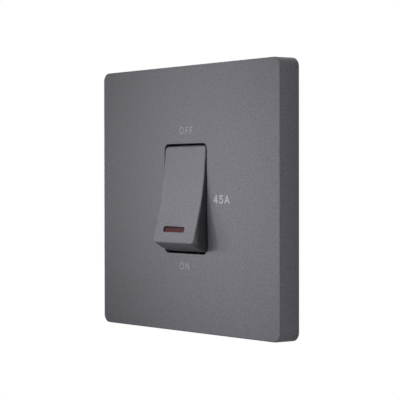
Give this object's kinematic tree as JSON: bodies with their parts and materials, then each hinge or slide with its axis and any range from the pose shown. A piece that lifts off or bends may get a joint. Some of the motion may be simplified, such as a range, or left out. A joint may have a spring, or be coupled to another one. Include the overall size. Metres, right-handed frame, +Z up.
{
  "type": "double pole switch",
  "caption": "Square clip-on wall plate with a tilting rocker and red indicator window, over a double-pole contact mechanism with screw terminals in a moulded rear case.",
  "frame": {"origin": "middle of the plate's back, in the wall plane, midway between the fixing holes", "axes": "+X right, +Y into the wall, +Z up"},
  "size_m": [0.0864, 0.0401, 0.0864],
  "materials": {
    "plate_grey": "fine-textured matt grey moulding",
    "red_lens": "clear red moulding, unlit",
    "frame_grey": "plain dark grey moulding",
    "body_black": "plain black moulding",
    "screw_steel": "zinc-plated steel",
    "terminal_brass": "machined brass",
    "contact_copper": "pressed copper strip",
    "contact_silver": "silver contact tip",
    "spring_steel": "bright spring wire",
    "plunger_white": "natural white acetal",
    "holder_white": "plain white moulding",
    "lamp_glass": "clear glass capsule",
    "resistor_tan": "lacquered resistor body",
    "tinned_wire": "tinned copper wire"
  },
  "bodies": {
    "base": {"front_plate": "plate_grey", "mounting_frame": "frame_grey", "switch_body": "body_black", "rear_cover": "body_black", "case_screws": "screw_steel", "terminal_screws": "screw_steel", "earth_screw": "screw_steel", "earth_terminal": "terminal_brass", "lamp_holder": "holder_white", "neon_lamp": "lamp_glass", "lamp_resistor": "resistor_tan", "lamp_leads": "tinned_wire", "live_fixed_contact": "contact_silver", "live_contact_strip": "contact_copper", "live_pivot_bracket": "contact_copper", "supply_live_terminal": "terminal_brass", "load_live_terminal": "terminal_brass", "neutral_fixed_contact": "contact_silver", "neutral_contact_strip": "contact_copper", "neutral_pivot_bracket": "contact_copper", "supply_neutral_terminal": "terminal_brass", "load_neutral_terminal": "terminal_brass"},
    "rocker": {"rocker": "plate_grey", "indicator_lens": "red_lens", "live_spring": "spring_steel", "neutral_spring": "spring_steel"},
    "live_plunger": {"live_plunger": "plunger_white"},
    "neutral_plunger": {"neutral_plunger": "plunger_white"},
    "live_contact_arm": {"live_contact_arm": "contact_copper", "live_moving_contact": "contact_silver"},
    "neutral_contact_arm": {"neutral_contact_arm": "contact_copper", "neutral_moving_contact": "contact_silver"}
  },
  "joints": [
    {"name": "rocker_tilt", "type": "hinge", "parent": "base", "child": "rocker", "pos_m": [0, -0.00305, 0], "axis": [1, 0, 0], "range_deg": [0, 20.6]},
    {"name": "live_arm_rock", "type": "hinge", "parent": "base", "child": "live_contact_arm", "pos_m": [-0.0048, 0.00815, 0], "axis": [1, 0, 0], "range_deg": [-15, 0]},
    {"name": "neutral_arm_rock", "type": "hinge", "parent": "base", "child": "neutral_contact_arm", "pos_m": [0.0048, 0.00815, 0], "axis": [1, 0, 0], "range_deg": [-15, 0]},
    {"name": "live_plunger_slide", "type": "slide", "parent": "rocker", "child": "live_plunger", "axis": [0, -0.9839, 0.1788], "range_m": [0, 0.0015], "stiffness_N_per_m": 1500, "deforming": ["live_spring"]},
    {"name": "neutral_plunger_slide", "type": "slide", "parent": "rocker", "child": "neutral_plunger", "axis": [0, -0.9839, 0.1788], "range_m": [0, 0.0015], "stiffness_N_per_m": 1500, "deforming": ["neutral_spring"]}
  ],
  "couplings": [
    {"joint": "live_arm_rock", "follows": "rocker_tilt", "ratio": -0.72815},
    {"joint": "neutral_arm_rock", "follows": "rocker_tilt", "ratio": -0.72815}
  ]
}
